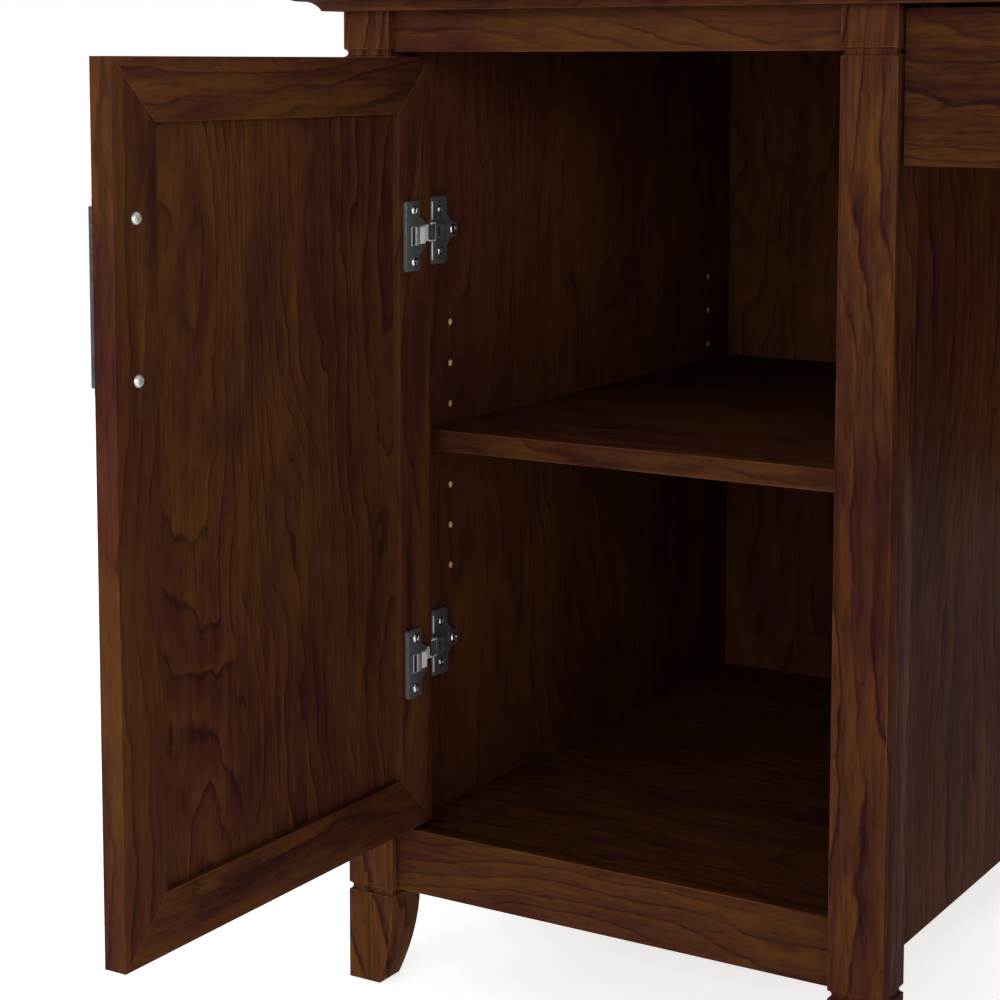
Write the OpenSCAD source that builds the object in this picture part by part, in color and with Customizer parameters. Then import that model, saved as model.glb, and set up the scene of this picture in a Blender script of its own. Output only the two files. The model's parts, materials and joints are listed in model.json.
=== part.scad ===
// Corner desk: two equal runs mitred together at the back right corner. The left run stands on a
// cabinet with a hinged door, an adjustable shelf and, beside it, a shallow kneehole drawer. The
// right run stands on a matching pedestal with a box drawer and a file drawer.
// The origin is on the floor under the middle of the square that the top covers. The walls are at
// the +Y and +X edges, and the desk is used from the -X, -Y side.

/* [Overall] */
// Length of each run, along its wall
desk_l = 1510; // [1480:10:1700]
// Height of the top surface
desk_h = 766; // [740:1:790]
// Depth of each run
top_d = 608; // [600:1:620]
// Thickness of the top at its moulded edge
top_t = 26; // [24:1:30]
// How far the top stands out in front of the posts
overhang = 33.3; // [30:0.1:36]

/* [Edge moulding] */
// Thickness of the bullnose
nose_t = 19; // [16:0.5:20]
// Width of the moulding strip
edge_w = 40; // [36:1:50]
// Width of the cove under the bullnose
cove_w = 11.9; // [10:0.1:13]
// Radius of the cove
cove_r = 11; // [10:0.5:14]

/* [Posts] */
// Width of a post, along the front
post_w = 40; // [38:0.5:44]
// Depth of a post
post_d = 38.4; // [38:0.1:44]
// Height at which a foot starts to curve in
foot_h = 67.5; // [60:0.5:70]
// How far a foot curves in at the floor
foot_inset = 12; // [6:0.5:14]
// Height of the upper groove
groove_high = 709.4; // [700:0.1:720]
// Height of the lower groove
groove_low = 72.4; // [70:0.1:76]
// Depth of a groove
groove_depth = 2.2; // [1:0.1:3]
// Radius of a groove's section
groove_r = 2.9; // [2.5:0.1:4]

/* [Cabinets] */
// Width over the posts
cab_w = 437; // [430:1:445]
// Depth over the posts
cab_d = 573.5; // [572:0.1:574]
// Thickness of the side panels
side_t = 16.1; // [15:0.1:18]
// Distance from a post's outer face to the side panel
side_recess = 26; // [20:0.5:30]
// Setback of the rails behind the posts
rail_recess = 7.2; // [4:0.1:10]
// Thickness of the rails
rail_t = 16; // [12:1:18]
// Underside of the bottom rail and of the side panels
skirt_z = 74.7; // [70:0.1:80]
// Top of the bottom rail and of the deck
deck_z = 123.8; // [110:0.1:130]
// Underside of the top rail
lintel_z = 710; // [700:0.1:715]
// Thickness of the deck
deck_t = 16; // [12:1:18]
// Thickness of the back panel
back_t = 4; // [3:0.5:5]
// Front face of the back panel, behind the front of the posts
back_y = 568; // [560:1:569]

/* [Shelf] */
// Top of the shelf
shelf_z = 425.2; // [300:0.1:600]
// Thickness of the shelf
shelf_t = 15.9; // [12:0.1:19]
// Setback of the shelf behind the posts
shelf_recess = 42.2; // [40:0.1:80]
// Distance between pin holes
pin_pitch = 31.75; // [25:0.25:32]
// Pin holes in a column
pin_count = 7; // [3:2:9]
// Diameter of a pin hole
pin_hole_d = 5; // [5:0.1:7]

/* [Door] */
// Gap round the door and the drawer fronts
front_gap = 3.1; // [2:0.1:4]
// Gap below the door and the lowest drawer front
front_gap_low = 5.1; // [3:0.1:6]
// Gap above the door and the highest drawer front
front_gap_high = 3.9; // [3:0.1:6]
// Thickness of the door and of the drawer fronts
front_t = 17.3; // [16:0.1:19]
// Width of the door's frame
stile_w = 41; // [36:1:60]
// Recess of the panel behind the frame, on each side
panel_recess = 5.4; // [3:0.1:6]
// Depth of the groove that holds the panel
panel_groove = 6; // [4:0.5:6]

/* [Hinges] */
// Height of the upper hinge
hinge_high = 575.7; // [500:0.1:620]
// Height of the lower hinge
hinge_low = 256.5; // [180:0.1:300]
// Pivot's distance from the door's hinge edge
pivot_edge = 8; // [7:0.1:9]
// Pivot's distance behind the door's outer face
pivot_depth = 6.4; // [6:0.1:6.6]
// Radius of the hinge pin
hinge_pin_r = 1.9; // [1.5:0.1:2]
// Height of a hinge plate
plate_h = 51.5; // [46:0.5:56]

/* [Pulls] */
// Distance between the screws of a pull
pull_pitch = 101.6; // [96:0.8:128]
// How far a pull stands out
pull_reach = 20; // [18:0.5:28]
// Height of the middle of the door's pull
pull_z = 555.4; // [400:0.1:620]

/* [Drawers] */
// Height of the kneehole drawer's front
knee_front_h = 101.4; // [80:0.1:120]
// Height of the box drawer's front
box_front_h = 190; // [150:1:220]
// Width of the kneehole drawer's front
knee_front_w = 421; // [380:1:425]
// Depth of the kneehole drawer's box
knee_box_d = 400; // [300:10:440]
// Depth of the pedestal drawers' boxes
box_d = 500; // [400:10:520]
// Thickness of the drawers' sides and backs
board_t = 12; // [9:0.5:15]
// Thickness of the drawers' bottoms
bottom_t = 4; // [3:0.5:6]

/* [Modesty panels] */
// Thickness of the modesty panels
modesty_t = 16; // [12:1:19]
// Underside of the modesty panels
modesty_z = 330; // [200:10:500]

/* [Hidden] */

$fn = 48;
wood = [0.27, 0.15, 0.09];
wood_inside = [0.22, 0.12, 0.08];
steel = [0.75, 0.75, 0.77];
gunmetal = [0.28, 0.28, 0.3];
pewter = [0.33, 0.31, 0.3];
pale_wood = [0.72, 0.6, 0.45];

half = desk_l / 2;
under_top = desk_h - top_t;             // underside of the top
cab_x = overhang - half;                // outer face of the left run's outer posts
cab_y = half - top_d + overhang;        // front faces of the left run's posts
edge_y = half - top_d;                  // front edge of the left run's top
inner_x = side_recess + side_t;         // inner face of a side panel
inner_w = cab_w - 2 * inner_x;
mid_x = cab_w / 2;
front_y = rail_recess;                  // outer faces of the door and the drawer fronts
front_z0 = deck_z + front_gap_low;
front_z1 = lintel_z - front_gap_high;
front_x0 = post_w + front_gap;
front_w = cab_w - 2 * front_x0;
foot_rise = 3;                          // the foot's arc is centred this far above its top
foot_back = (pow(foot_inset, 2) + pow(foot_h, 2) + 2 * foot_h * foot_rise) / (2 * foot_inset);
pin_row_front = 79.4;                   // pin holes behind the front of the posts
pin_row_rear = 523.6;
pin_mid_z = shelf_z - shelf_t - 1.2;    // middle pin holes, just under the shelf

pivot_x = front_x0 + pivot_edge;
pivot_y = front_y + pivot_depth;
hinge_heights = [hinge_low, hinge_high];
arm_half = 6.5;                         // half the height of a hinge arm
ear_z = 7.2;                            // where a hinge's ears start, from its middle
ear_top = 12;
barrel_r = 3.9;
run_gap = 0.05;                         // running clearance round a hinge pin

slide_t = 12.7;
slide_h = 45.6;
sheet = 1.2;                            // thickness of the slides' steel
slide_gap = 0.6;
hanger_t = 16;
hanger_drop = 84;

// Puts its children in the left cabinet's frame: X from the left posts' outer faces, Y from the
// posts' front faces.
module in_cabinet() { translate([cab_x, cab_y, 0]) children(); }

// Swaps X and Y, which turns anything on the left run into its twin on the right run.
module on_return() { mirror([1, -1, 0]) children(); }

// Mirrors its children from the cabinet's left side to its right side.
module cabinet_right() { translate([cab_w, 0, 0]) mirror([1, 0, 0]) children(); }

// Mirrors its children from the cabinet's front to its back.
module cabinet_rear() { translate([0, cab_d, 0]) mirror([0, 1, 0]) children(); }

// A box from one corner to the other.
module block(low, high) { translate(low) cube(high - low); }

// ---- Top ----

// Half of the L: the left run's core, inside the moulding and mitred along the diagonal.
module top_core() {
    translate([0, 0, under_top]) linear_extrude(top_t) polygon([
        [-half + edge_w, edge_y + edge_w], [edge_y + edge_w, edge_y + edge_w],
        [half, half], [-half + edge_w, half]
    ]);
}

// Section of the edge moulding: x runs inwards from the outer edge, y is the height.
module edge_section() {
    nose_r = nose_t / 2;
    nose_z = desk_h - nose_r;
    cove_top = [nose_r, desk_h - nose_t];
    cove_foot = [nose_r + cove_w, under_top];
    chord = cove_foot - cove_top;
    away = sqrt(pow(cove_r, 2) - pow(norm(chord) / 2, 2));
    centre = (cove_top + cove_foot) / 2 + away * [chord[1], -chord[0]] / norm(chord);
    translate([nose_r, nose_z]) circle(nose_r);
    translate([nose_r, desk_h - nose_t]) square([edge_w - nose_r, nose_t]);
    difference() {
        polygon([cove_top, cove_foot, [edge_w, under_top], [edge_w, desk_h - nose_t]]);
        translate(centre) circle(cove_r, $fn = 96);
    }
}

// Moulding along an edge that runs in X, cut to the plan that the mitres leave.
module edge_strip(edge, plan) {
    intersection() {
        translate([-half - 1, edge, 0]) rotate([90, 0, 90])
            linear_extrude(desk_l + 2) edge_section();
        linear_extrude(desk_h + 1) polygon(plan);
    }
}

module front_edge_strip() {
    edge_strip(edge_y, [
        [-half, edge_y], [edge_y, edge_y],
        [edge_y + edge_w, edge_y + edge_w], [-half + edge_w, edge_y + edge_w]
    ]);
}

// Moulding across the end of the right run, which on_return() turns into the left run's.
module end_edge_strip() {
    edge_strip(-half, [
        [edge_y, -half], [half, -half], [half, -half + edge_w], [edge_y + edge_w, -half + edge_w]
    ]);
}

module main_top() { color(wood) top_core(); }
module return_top() { color(wood) on_return() top_core(); }
module edge_front() { color(wood) front_edge_strip(); }
module edge_return_side() { color(wood) on_return() front_edge_strip(); }
module edge_return_end() { color(wood) end_edge_strip(); }
module edge_left() { color(wood) on_return() end_edge_strip(); }

// ---- Posts ----

// Horizontal grooves on all four faces of a post of plan w by d, at height z.
module post_grooves(w, d, z) {
    reach = groove_r - groove_depth;
    for (y = [-reach, d + reach]) translate([-1, y, z])
        rotate([0, 90, 0]) cylinder(r = groove_r, h = w + 2);
    for (x = [-reach, w + reach]) translate([x, -1, z])
        rotate([-90, 0, 0]) cylinder(r = groove_r, h = d + 2);
}

// What the foot's curve takes off the face at x = w. It meets the face at a slight angle.
module foot_cut(w, d) {
    difference() {
        block([w - foot_inset - 2, -1, -1], [w + 1, d + 1, foot_h + 1]);
        translate([w - foot_back, -2, foot_h + foot_rise]) rotate([-90, 0, 0])
            cylinder(r = norm([foot_back, foot_rise]), h = d + 4, $fn = 200);
    }
}

// A front left post. Its outer faces are straight and its two inner faces curve in at the foot.
module post(w = post_w, d = post_d) {
    difference() {
        cube([w, d, under_top]);
        post_grooves(w, d, groove_high);
        post_grooves(w, d, groove_low);
        foot_cut(w, d);
        mirror([1, -1, 0]) foot_cut(d, w);
    }
}

// A rear left post, rebated for the side panel.
module rear_post() {
    difference() {
        cabinet_rear() post();
        block([side_recess, cab_d - post_d - 1, skirt_z], [post_w + 1, back_y, under_top + 1]);
    }
}

module post_front_left() { color(wood) in_cabinet() post(); }
module post_front_right() { color(wood) in_cabinet() cabinet_right() post(); }
module post_rear_left() { color(wood) in_cabinet() rear_post(); }
module post_rear_right() { color(wood) in_cabinet() cabinet_right() rear_post(); }
module return_post_front_outer() { color(wood) on_return() in_cabinet() post(); }
module return_post_front_inner() { color(wood) on_return() in_cabinet() cabinet_right() post(); }
module return_post_rear_outer() { color(wood) on_return() in_cabinet() rear_post(); }
module return_post_rear_inner() { color(wood) on_return() in_cabinet() cabinet_right() rear_post(); }

// The post in the corner of the room, whose feet curve in on the two inner faces.
module corner_post() {
    corner = cab_y + cab_d;
    color(wood) translate([corner, corner, 0]) mirror([1, 0, 0]) mirror([0, 1, 0])
        post(post_w, post_w);
}

// ---- Cabinet panels ----

// The pin holes of a left side panel, open on its inner face.
module pin_holes() {
    for (y = [pin_row_front, pin_row_rear], i = [0 : pin_count - 1])
        translate([inner_x - 10, y, pin_mid_z + (i - (pin_count - 1) / 2) * pin_pitch])
            rotate([0, 90, 0]) cylinder(d = pin_hole_d, h = 11);
}

module side_panel() { block([side_recess, post_d, skirt_z], [inner_x, back_y, under_top]); }

module drilled_side_panel() {
    difference() {
        side_panel();
        pin_holes();
    }
}

module back_panel() {
    block([post_w, back_y, deck_z - deck_t], [cab_w - post_w, back_y + back_t, under_top]);
}

module deck() {
    block([inner_x, rail_recess + rail_t, deck_z - deck_t], [cab_w - inner_x, back_y, deck_z]);
}

module rail(low, high) {
    block([post_w, rail_recess, low], [cab_w - post_w, rail_recess + rail_t, high]);
}

module left_side_panel() {
    color(wood) in_cabinet() difference() {
        drilled_side_panel();
        for (z = hinge_heights) arm_screw_holes(z);
    }
}
module right_side_panel() { color(wood) in_cabinet() cabinet_right() drilled_side_panel(); }
module cabinet_back() { color(wood_inside) in_cabinet() back_panel(); }
module cabinet_deck() { color(wood_inside) in_cabinet() deck(); }
module cabinet_top_rail() { color(wood) in_cabinet() rail(lintel_z, under_top); }
module cabinet_bottom_rail() { color(wood) in_cabinet() rail(skirt_z, deck_z); }
module return_end_panel() { color(wood) on_return() in_cabinet() side_panel(); }
module return_inner_panel() { color(wood) on_return() in_cabinet() cabinet_right() side_panel(); }
module return_back() { color(wood_inside) on_return() in_cabinet() back_panel(); }
module return_deck() { color(wood_inside) on_return() in_cabinet() deck(); }
module return_top_rail() { color(wood) on_return() in_cabinet() rail(lintel_z, under_top); }
module return_bottom_rail() { color(wood) on_return() in_cabinet() rail(skirt_z, deck_z); }

// Panel behind the kneehole, from the cabinet's rear post to the corner post.
module knee_panel() {
    y1 = cab_d - 12.5;
    in_cabinet() block(
        [cab_w, y1 - modesty_t, modesty_z],
        [cab_y + cab_d - post_w - cab_x, y1, under_top]
    );
}

module modesty_panel() { color(wood) knee_panel(); }
module return_modesty_panel() { color(wood) on_return() knee_panel(); }

// ---- Shelf ----

module shelf() {
    color(wood) in_cabinet() block(
        [inner_x + 1, shelf_recess, shelf_z - shelf_t],
        [cab_w - inner_x - 1, back_y - 2, shelf_z]
    );
}

// A pin in a left hand hole, with a ledge under the shelf.
module shelf_pin(y) {
    ledge = shelf_z - shelf_t;
    translate([inner_x - 9, y, pin_mid_z]) rotate([0, 90, 0])
        cylinder(d = pin_hole_d - 0.1, h = 9.5);
    block([inner_x, y - 4, ledge - 8], [inner_x + 1, y + 4, ledge]);
    block([inner_x, y - 4, ledge - 2], [inner_x + 9, y + 4, ledge]);
}

module shelf_pins() {
    color(steel) in_cabinet() for (y = [pin_row_front, pin_row_rear]) {
        shelf_pin(y);
        cabinet_right() shelf_pin(y);
    }
}

// Ball catch on the right post, against the door's free edge.
module door_catch() {
    z = 683;
    y = front_y + front_t / 2;
    face = cab_w - post_w;
    color(steel) in_cabinet() {
        block([face - 0.6, y - 5.5, z - 11], [face, y + 5.5, z + 11]);
        intersection() {
            translate([face + 1.2, y, z]) sphere(r = 3.8);
            block([face - 3, y - 5, z - 5], [face - 0.3, y + 5, z + 5]);
        }
    }
}

// ---- Door, drawn closed and turned a quarter turn open about the hinge pins ----

module door_open() {
    in_cabinet() translate([pivot_x, pivot_y, 0]) rotate([0, 0, -90])
        translate([-pivot_x, -pivot_y, 0]) children();
}

door_h = front_z1 - front_z0;
panel_y0 = front_y + panel_recess;
panel_y1 = front_y + front_t - panel_recess;

module door_panel_slab() {
    edge = stile_w - panel_groove;
    block([front_x0 + edge, panel_y0, front_z0 + edge],
        [front_x0 + front_w - edge, panel_y1, front_z1 - edge]);
}

// A frame member of the given outer length along Z, against x = 0, mitred at both ends.
module frame_member(length) {
    translate([0, front_t, 0]) rotate([90, 0, 0]) linear_extrude(front_t)
        polygon([[0, 0], [stile_w, stile_w], [stile_w, length - stile_w], [0, length]]);
}

module door_stile() {
    translate([front_x0, front_y, front_z0]) frame_member(door_h);
}

// The bottom rail of the door, which is a stile laid on its side.
module door_low_rail() {
    translate([front_x0, front_y, front_z0]) mirror([1, 0, -1]) frame_member(front_w);
}

module door_hinge_stile() {
    color(wood) door_open() difference() {
        door_stile();
        door_panel_slab();
        for (z = hinge_heights) {
            cup_pocket(z);
            arm_pocket(z);
            cup_screw_shanks(z);
        }
    }
}

module door_pull_stile() {
    color(wood) door_open() difference() {
        cabinet_right() door_stile();
        door_panel_slab();
        door_pull_shanks();
    }
}

module door_top_rail() {
    color(wood) door_open() difference() {
        translate([0, 0, front_z0 + front_z1]) mirror([0, 0, 1]) door_low_rail();
        door_panel_slab();
    }
}

module door_bottom_rail() {
    color(wood) door_open() difference() {
        door_low_rail();
        door_panel_slab();
    }
}

module door_panel() { color(wood) door_open() door_panel_slab(); }

// ---- Hinges, drawn with the door closed ----

cup_r = 8.2;
cup_depth = 10.5;
cup_x = front_x0 + 26.6;
inner_y = front_y + front_t;            // the door's inner face
cup_plate_t = 3;
ear_x0 = pivot_x - 4;
ear_x1 = cup_x - 6;
arm_clear_x = pivot_x + barrel_r + 0.5;
arm_clear_y = pivot_y - barrel_r - 0.5;

// The block of a hinge's two ears, let into the door beside the cup.
module ear_block(z) {
    block([ear_x0, arm_clear_y, z - ear_top], [ear_x1, inner_y, z + ear_top]);
}

module cup_pocket(z) {
    translate([cup_x, inner_y - cup_depth, z]) rotate([-90, 0, 0])
        cylinder(r = cup_r, h = cup_depth + 1);
    ear_block(z);
}

// The way that the arm sweeps through the door.
module arm_pocket(z) {
    block([front_x0 - 1, arm_clear_y, z - ear_z], [arm_clear_x, inner_y + 9, z + ear_z]);
}

module cup_screw_shanks(z) {
    for (side = [-1, 1]) translate([cup_x, inner_y + cup_plate_t, z + side * 19])
        rotate([90, 0, 0]) cylinder(r = 1.6, h = 13);
}

// Mounting plate, cup and ears: everything of a hinge that is let into the door.
module hinge_cup(z) {
    difference() {
        union() {
            block([cup_x - 9, inner_y, z - plate_h / 2], [cup_x + 9, inner_y + cup_plate_t,
                z + plate_h / 2]);
            block([arm_clear_x + 0.6, inner_y, z - ear_top], [cup_x, inner_y + cup_plate_t,
                z + ear_top]);
            translate([cup_x, inner_y - cup_depth, z]) rotate([-90, 0, 0])
                cylinder(r = cup_r, h = cup_depth);
            ear_block(z);
        }
        arm_pocket(z);
        translate([cup_x, inner_y - cup_depth + 1, z]) rotate([-90, 0, 0])
            cylinder(r = 5, h = cup_depth + cup_plate_t);
        cup_screw_shanks(z);
        translate([pivot_x, pivot_y, z - ear_top - 1])
            cylinder(r = hinge_pin_r, h = 2 * ear_top + 2);
    }
}

module hinge_cups() {
    color(gunmetal) door_open() for (z = hinge_heights) hinge_cup(z);
}

module hinge_pins() {
    color(steel) door_open() for (z = hinge_heights)
        translate([pivot_x, pivot_y, z - ear_top]) cylinder(r = hinge_pin_r, h = 2 * ear_top);
}

arm_x0 = pivot_x - 4.2;
arm_plate_t = 3;
arm_plate_y = [50, 71];
arm_tail_y = 88;

module arm_screw_holes(z) {
    for (side = [-1, 1]) translate([inner_x - 10, 60.5, z + side * 15.9])
        rotate([0, 90, 0]) cylinder(r = 1.6, h = 10 + arm_plate_t);
}

// Arm from the pin round to the cabinet's side panel, with its plate and tail.
module hinge_arm(z) {
    difference() {
        union() {
            translate([pivot_x, pivot_y, z - ear_z + 0.4])
                cylinder(r = barrel_r, h = 2 * ear_z - 0.8);
            block([arm_x0, pivot_y, z - arm_half], [pivot_x, arm_plate_y[0] + 6, z + arm_half]);
            block([inner_x, 46, z - arm_half], [pivot_x + 1, arm_tail_y, z + arm_half]);
            block([inner_x, arm_plate_y[0], z - plate_h / 2],
                [inner_x + arm_plate_t, arm_plate_y[1], z + plate_h / 2]);
            block([inner_x, arm_plate_y[0], z - 9],
                [inner_x + arm_plate_t, arm_tail_y, z + 9]);
        }
        translate([pivot_x, pivot_y, z - ear_z])
            cylinder(r = hinge_pin_r + run_gap, h = 2 * ear_z);
        arm_screw_holes(z);
        translate([pivot_x - 3, 81, z]) rotate([0, 90, 0]) cylinder(r = 2.5, h = 10);
    }
}

module hinge_arms() { color(steel) in_cabinet() for (z = hinge_heights) hinge_arm(z); }

// A pan head screw along +X, with its head's underside at x = 0 and its shank behind it.
module pan_screw(shank_r, shank_l, head_r, head_h) {
    translate([-shank_l, 0, 0]) rotate([0, 90, 0]) cylinder(r = shank_r, h = shank_l + 0.5);
    difference() {
        rotate([0, 90, 0]) cylinder(r1 = head_r, r2 = head_r * 0.72, h = head_h);
        for (turn = [0, 90]) rotate([turn, 0, 0])
            translate([head_h, 0, 0]) cube([head_h, head_r * 1.1, head_r * 0.22], center = true);
    }
}

// Screws that hold the arms to the side panel, and each arm's adjusting screw.
module hinge_arm_screws() {
    color(steel) in_cabinet() for (z = hinge_heights) {
        for (side = [-1, 1]) translate([inner_x + arm_plate_t, 60.5, z + side * 15.9])
            pan_screw(1.6, 12, 3.6, 2);
        translate([pivot_x + 1, 81, z]) pan_screw(2.5, 4, 3.9, 1.6);
    }
}

// ---- Pulls ----

// A bar pull along Z on two feet, standing out along -Y from y = 0.
module bar_pull() {
    bar_r = 5;
    end_r = 3;
    axis = -pull_reach + bar_r;
    bar_l = pull_pitch + 13;
    end_l = pull_pitch + 28;
    difference() {
        union() {
            translate([0, axis, -bar_l / 2]) cylinder(r = bar_r, h = bar_l);
            translate([0, axis, -end_l / 2 + end_r]) cylinder(r = end_r, h = end_l - 2 * end_r);
            for (side = [-1, 1]) {
                translate([0, axis, side * (end_l / 2 - end_r)]) sphere(r = end_r);
                translate([0, 0, side * pull_pitch / 2]) rotate([90, 0, 0]) {
                    cylinder(r = 4, h = -axis);
                    cylinder(r = 6.5, h = 2);
                }
            }
        }
        for (side = [-1, 1]) translate([0, 1, side * pull_pitch / 2]) rotate([90, 0, 0])
            cylinder(r = 2.1, h = 11);
    }
}

// The two screws of a pull, through a front of the given thickness.
module pull_screws(thickness) {
    for (side = [-1, 1]) translate([0, thickness, side * pull_pitch / 2])
        rotate([0, 0, 90]) pan_screw(2, thickness + 8, 4.2, 2.4);
}

module pull_shanks(thickness) {
    for (side = [-1, 1]) translate([0, thickness + 1, side * pull_pitch / 2])
        rotate([90, 0, 0]) cylinder(r = 2, h = thickness + 2);
}

door_pull_at = [front_x0 + front_w - 21, front_y, pull_z];

module door_pull_shanks() { translate(door_pull_at) pull_shanks(front_t); }
module door_pull() { color(pewter) door_open() translate(door_pull_at) bar_pull(); }

// All of the door's screws: those of the pull and those of the hinge cups.
module door_screws() {
    color(steel) door_open() {
        translate(door_pull_at) pull_screws(front_t);
        for (z = hinge_heights, side = [-1, 1])
            translate([cup_x, inner_y + cup_plate_t, z + side * 19]) rotate([0, 0, 90])
                pan_screw(1.6, 12, 3.6, 2);
    }
}

// ---- Drawers ----

// A drawer front with a pull's holes in its middle.
module drawer_front(size) {
    difference() {
        cube(size);
        translate([size[0] / 2, 0, size[2] / 2]) rotate([0, 90, 0]) pull_shanks(front_t);
    }
}

// A pull lying along X in the middle of a front, with its screws.
module drawer_pull(size) {
    translate([size[0] / 2, 0, size[2] / 2]) rotate([0, 90, 0]) {
        bar_pull();
        pull_screws(front_t);
    }
}

// Sides and back glued into a U behind the front, with the bottom loose in a groove.
module drawer_box(w, d, h) {
    slack = 0.25;
    groove = board_t / 2;
    bottom_z = 10;
    difference() {
        cube([w, d, h]);
        block([board_t, -1, -1], [w - board_t, d - board_t, h + 1]);
        block([groove, -1, bottom_z], [w - groove, d - groove, bottom_z + bottom_t + 2 * slack]);
    }
    block([groove + slack, 0, bottom_z + slack],
        [w - groove - slack, d - groove - slack, bottom_z + slack + bottom_t]);
}

// Channel along Y with its web at x = 0, open towards +X.
module channel(reach, h, length) {
    difference() {
        translate([0, 0, -h / 2]) cube([reach, length, h]);
        translate([sheet, -1, -h / 2 + sheet]) cube([reach, length + 2, h - 2 * sheet]);
    }
}

// The three members of a left hand slide, from the cabinet's side at x = 0 to the drawer's.
module slide_outer(length) { channel(9, slide_h, length); }
module slide_middle(length) {
    translate([2.6, 0, 0]) channel(7.6, slide_h - 2 * (sheet + slide_gap), length);
}
module slide_inner(length) {
    translate([slide_t, 0, 0]) mirror([1, 0, 0])
        channel(7.4, slide_h - 4 * (sheet + slide_gap), length);
}

// Puts a left hand slide on both sides of a drawer that is w wide between its slides.
module both_sides(w) {
    translate([-slide_t, 0, 0]) children();
    translate([w + slide_t, 0, 0]) mirror([1, 0, 0]) children();
}

// Where each drawer's front starts, and the sizes of its front and box.
knee_front = [knee_front_w, front_t, knee_front_h];
knee_front_at = [cab_w + 2, front_y, under_top - 3 - knee_front_h];
knee_box = [knee_front_w - 2 * (hanger_t + 2 + slide_t), knee_box_d, 60];
box_front = [front_w, front_t, box_front_h];
box_front_at = [front_x0, front_y, front_z1 - box_front_h];
file_front = [front_w, front_t, door_h - box_front_h - front_gap];
file_front_at = [front_x0, front_y, front_z0];
pedestal_box_w = inner_w - 2 * slide_t;
box_box = [pedestal_box_w, box_d, 130];
file_box = [pedestal_box_w, box_d, 250];

// The front lower left corner of a drawer's box, centred behind its front.
function box_at(front_at, front, box, lift) =
    [front_at[0] + (front[0] - box[0]) / 2, front_at[1] + front_t, front_at[2] + lift];

knee_box_at = box_at(knee_front_at, knee_front, knee_box, 20);
box_box_at = box_at(box_front_at, box_front, box_box, 30);
file_box_at = box_at(file_front_at, file_front, file_box, 30);
slide_start = 6;                        // slides start behind the drawer's front

module knee_slide_place() { translate(knee_box_at + [0, slide_start, knee_box[2] / 2]) children(); }
module box_slide_place() { translate(box_box_at + [0, slide_start, 60]) children(); }
module file_slide_place() { translate(file_box_at + [0, slide_start, 80]) children(); }

module kneehole_drawer_front() {
    color(wood) in_cabinet() translate(knee_front_at) drawer_front(knee_front);
}
module kneehole_drawer_pull() {
    color(pewter) in_cabinet() translate(knee_front_at) drawer_pull(knee_front);
}
module kneehole_drawer_box() {
    color(pale_wood) in_cabinet() translate(knee_box_at)
        drawer_box(knee_box[0], knee_box[1], knee_box[2]);
}
module box_drawer_front() {
    color(wood) on_return() in_cabinet() translate(box_front_at) drawer_front(box_front);
}
module box_drawer_pull() {
    color(pewter) on_return() in_cabinet() translate(box_front_at) drawer_pull(box_front);
}
module box_drawer_box() {
    color(pale_wood) on_return() in_cabinet() translate(box_box_at)
        drawer_box(box_box[0], box_box[1], box_box[2]);
}
module file_drawer_front() {
    color(wood) on_return() in_cabinet() translate(file_front_at) drawer_front(file_front);
}
module file_drawer_pull() {
    color(pewter) on_return() in_cabinet() translate(file_front_at) drawer_pull(file_front);
}
module file_drawer_box() {
    color(pale_wood) on_return() in_cabinet() translate(file_box_at)
        drawer_box(file_box[0], file_box[1], file_box[2]);
}

// Boards under the top that carry the kneehole drawer's slides.
module drawer_hangers() {
    x0 = knee_box_at[0] - slide_t - hanger_t;
    x1 = knee_box_at[0] + knee_box[0] + slide_t;
    y0 = knee_box_at[1] + slide_start - 2;
    color(wood_inside) in_cabinet() for (x = [x0, x1])
        block([x, y0, under_top - hanger_drop], [x + hanger_t, y0 + knee_box_d, under_top]);
}

// The fixed members of all three pairs of slides.
module slide_channels() {
    color(steel) {
        in_cabinet() knee_slide_place() both_sides(knee_box[0]) slide_outer(knee_box_d - 10);
        on_return() in_cabinet() {
            box_slide_place() both_sides(pedestal_box_w) slide_outer(box_d - 10);
            file_slide_place() both_sides(pedestal_box_w) slide_outer(box_d - 10);
        }
    }
}

module kneehole_slides() {
    color(steel) in_cabinet() knee_slide_place() both_sides(knee_box[0])
        slide_middle(knee_box_d - 10);
}
module box_drawer_slides() {
    color(steel) on_return() in_cabinet() box_slide_place() both_sides(pedestal_box_w)
        slide_middle(box_d - 10);
}
module file_drawer_slides() {
    color(steel) on_return() in_cabinet() file_slide_place() both_sides(pedestal_box_w)
        slide_middle(box_d - 10);
}

module kneehole_drawer_members() {
    color(steel) in_cabinet() knee_slide_place() both_sides(knee_box[0])
        slide_inner(knee_box_d - 10);
}
module box_drawer_members() {
    color(steel) on_return() in_cabinet() box_slide_place() both_sides(pedestal_box_w)
        slide_inner(box_d - 10);
}
module file_drawer_members() {
    color(steel) on_return() in_cabinet() file_slide_place() both_sides(pedestal_box_w)
        slide_inner(box_d - 10);
}

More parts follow.
